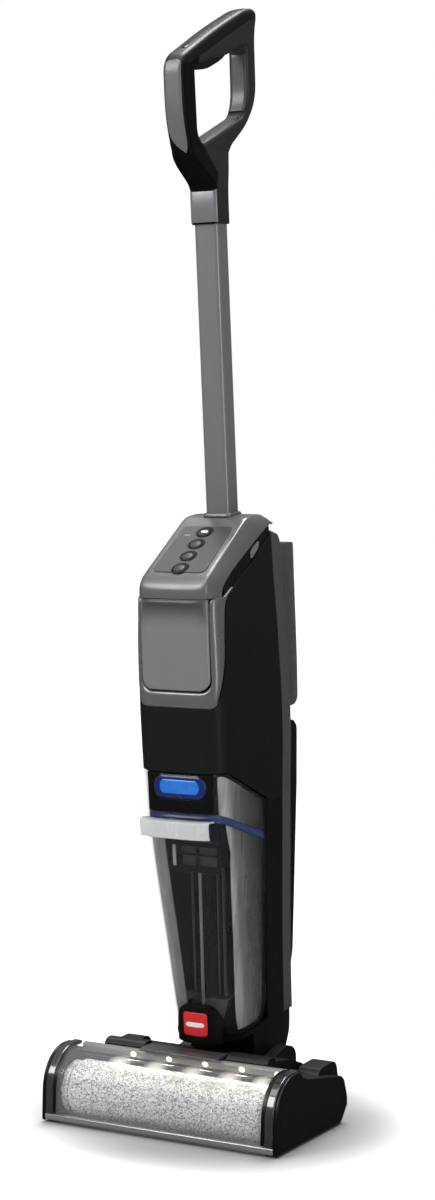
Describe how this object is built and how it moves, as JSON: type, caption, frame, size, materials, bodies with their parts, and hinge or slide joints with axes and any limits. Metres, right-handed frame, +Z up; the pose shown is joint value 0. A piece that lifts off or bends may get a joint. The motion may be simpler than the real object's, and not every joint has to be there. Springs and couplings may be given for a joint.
{
  "type": "wet and dry floor scrubber",
  "caption": "Upright cordless wet and dry floor scrubber: wide brush head with clear window, tilting swivel neck, slim leaning body with two lift-out water tanks, and a loop handle.",
  "frame": {"origin": "on the floor, under the centre of the overall bounding box", "axes": "+Z up; -Y is the side the head and the control panel face; +X is to the right of someone facing that side, X = 0 the plane of symmetry"},
  "size_m": [0.27, 0.2445, 1.1612],
  "materials": {
    "black": "semi-gloss black",
    "charcoal": "satin charcoal",
    "soft": "soft black",
    "grey": "satin mid grey",
    "silver": "satin silver grey",
    "band": "satin dark grey",
    "gunmetal": "glossy gunmetal",
    "wand": "satin metallic grey",
    "clear": "clear",
    "smoke": "smoked, translucent",
    "lip": "glossy silver grey",
    "blue": "glossy blue",
    "seal": "matt blue",
    "pile": "white and grey pile",
    "rubber": "matt black",
    "lamp": "warm white light bar",
    "red": "glossy red",
    "metal": "satin",
    "board": "matt green"
  },
  "bodies": {
    "head": {"sole_plate": "black", "brush_chamber": "charcoal", "intake_duct": "charcoal", "head_cover": "charcoal", "side_plate_left": "black", "side_plate_right": "black", "led_bar": "lamp", "squeegee": "rubber", "brush_motor": "metal", "drive_belt": "rubber"},
    "brush": {"brush_core": "charcoal", "brush_pile": "pile", "brush_pulley": "black", "brush_end_cap": "black"},
    "motor_pulley": {"motor_pulley": "metal"},
    "wheel_left": {"wheel_hub_left": "charcoal", "wheel_tyre_left": "rubber"},
    "wheel_right": {"wheel_hub_right": "charcoal", "wheel_tyre_right": "rubber"},
    "window": {"window": "clear", "window_end_left": "gunmetal", "window_end_right": "gunmetal", "window_lip": "lip", "window_tab": "grey"},
    "neck": {"neck_yoke": "black", "neck_hose": "soft"},
    "body": {"main_frame": "black", "badge": "red", "rear_shell": "band", "hose_cover": "black", "body_cover": "black", "trim_bezel": "gunmetal", "control_housing": "grey", "suction_motor": "metal", "water_pump": "black", "circuit_board": "board", "wand_tube": "wand", "handle_grip": "soft", "handle_frame": "charcoal", "handle_front_insert": "silver", "collar_insert": "silver"},
    "battery": {"battery_pack": "charcoal", "battery_door": "silver"},
    "solution_button": {"solution_button": "soft"},
    "mode_button": {"mode_button": "soft"},
    "clean_button": {"clean_button": "soft"},
    "power_button": {"power_button": "soft"},
    "trigger": {"trigger": "soft"},
    "recovery_tank": {"tank_cup": "clear", "tank_gasket": "seal", "tank_lid": "charcoal", "tank_grip": "clear", "standpipe": "soft", "strainer": "soft", "tank_filter": "pile"},
    "tank_latch": {"tank_latch": "blue"},
    "float": {"float": "lip"},
    "clean_tank": {"clean_tank": "smoke"},
    "fill_cap": {"fill_cap": "blue"}
  },
  "joints": [
    {"name": "neck_tilt", "type": "hinge", "parent": "head", "child": "neck", "pos_m": [0, 0.06768, 0.046], "axis": [-1, 0, 0], "range_deg": [0, 72]},
    {"name": "neck_swivel", "type": "hinge", "parent": "neck", "child": "body", "pos_m": [0, 0.06979, 0.09389], "axis": [0, -0.1253, 0.9921], "range_deg": [-45, 45]},
    {"name": "brush_spin", "type": "hinge", "parent": "head", "child": "brush", "pos_m": [0, -0.0793, 0.031], "axis": [1, 0, 0], "continuous": true},
    {"name": "motor_spin", "type": "hinge", "parent": "head", "child": "motor_pulley", "pos_m": [-0.115, -0.0193, 0.028], "axis": [1, 0, 0], "continuous": true},
    {"name": "wheel_left_spin", "type": "hinge", "parent": "head", "child": "wheel_left", "pos_m": [-0.111, 0.0307, 0.024], "axis": [1, 0, 0], "continuous": true},
    {"name": "wheel_right_spin", "type": "hinge", "parent": "head", "child": "wheel_right", "pos_m": [0.111, 0.0307, 0.024], "axis": [1, 0, 0], "continuous": true},
    {"name": "window_lift", "type": "slide", "parent": "head", "child": "window", "axis": [0, -0.8, 0.6], "range_m": [0, 0.06]},
    {"name": "tank_tilt", "type": "hinge", "parent": "body", "child": "recovery_tank", "pos_m": [0, -0.02898, 0.12576], "axis": [1, 0, 0], "range_deg": [0, 25]},
    {"name": "latch_press", "type": "slide", "parent": "recovery_tank", "child": "tank_latch", "axis": [0, 0.9921, 0.1253], "range_m": [0, 0.002], "stiffness_N_per_m": 500, "springref_m": -0.002},
    {"name": "float_rise", "type": "slide", "parent": "recovery_tank", "child": "float", "axis": [0, -0.1253, 0.9921], "range_m": [0, 0.011]},
    {"name": "clean_tank_slide", "type": "slide", "parent": "body", "child": "clean_tank", "axis": [0, 0.9921, 0.1253], "range_m": [0, 0.06]},
    {"name": "cap_open", "type": "hinge", "parent": "clean_tank", "child": "fill_cap", "pos_m": [0, 0.08908, 0.60585], "axis": [-1, 0, 0], "range_deg": [0, 90]},
    {"name": "battery_slide", "type": "slide", "parent": "body", "child": "battery", "axis": [0, -0.9921, -0.1253], "range_m": [0, 0.07]},
    {"name": "solution_press", "type": "slide", "parent": "body", "child": "solution_button", "axis": [0, 0.5839, -0.8118], "range_m": [0, 0.001], "stiffness_N_per_m": 300, "springref_m": -0.001},
    {"name": "mode_press", "type": "slide", "parent": "body", "child": "mode_button", "axis": [0, 0.5839, -0.8118], "range_m": [0, 0.001], "stiffness_N_per_m": 300, "springref_m": -0.001},
    {"name": "clean_press", "type": "slide", "parent": "body", "child": "clean_button", "axis": [0, 0.5839, -0.8118], "range_m": [0, 0.001], "stiffness_N_per_m": 300, "springref_m": -0.001},
    {"name": "power_press", "type": "slide", "parent": "body", "child": "power_button", "axis": [0, 0.5839, -0.8118], "range_m": [0, 0.001], "stiffness_N_per_m": 300, "springref_m": -0.001},
    {"name": "trigger_pull", "type": "hinge", "parent": "body", "child": "trigger", "pos_m": [0, -0.02555, 1.10391], "axis": [-1, 0, 0], "range_deg": [0, 3.2], "stiffness_Nm_per_rad": 0.6, "springref_deg": -8.59}
  ],
  "couplings": [
    {"joint": "motor_spin", "follows": "brush_spin", "ratio": 1.7407}
  ]
}
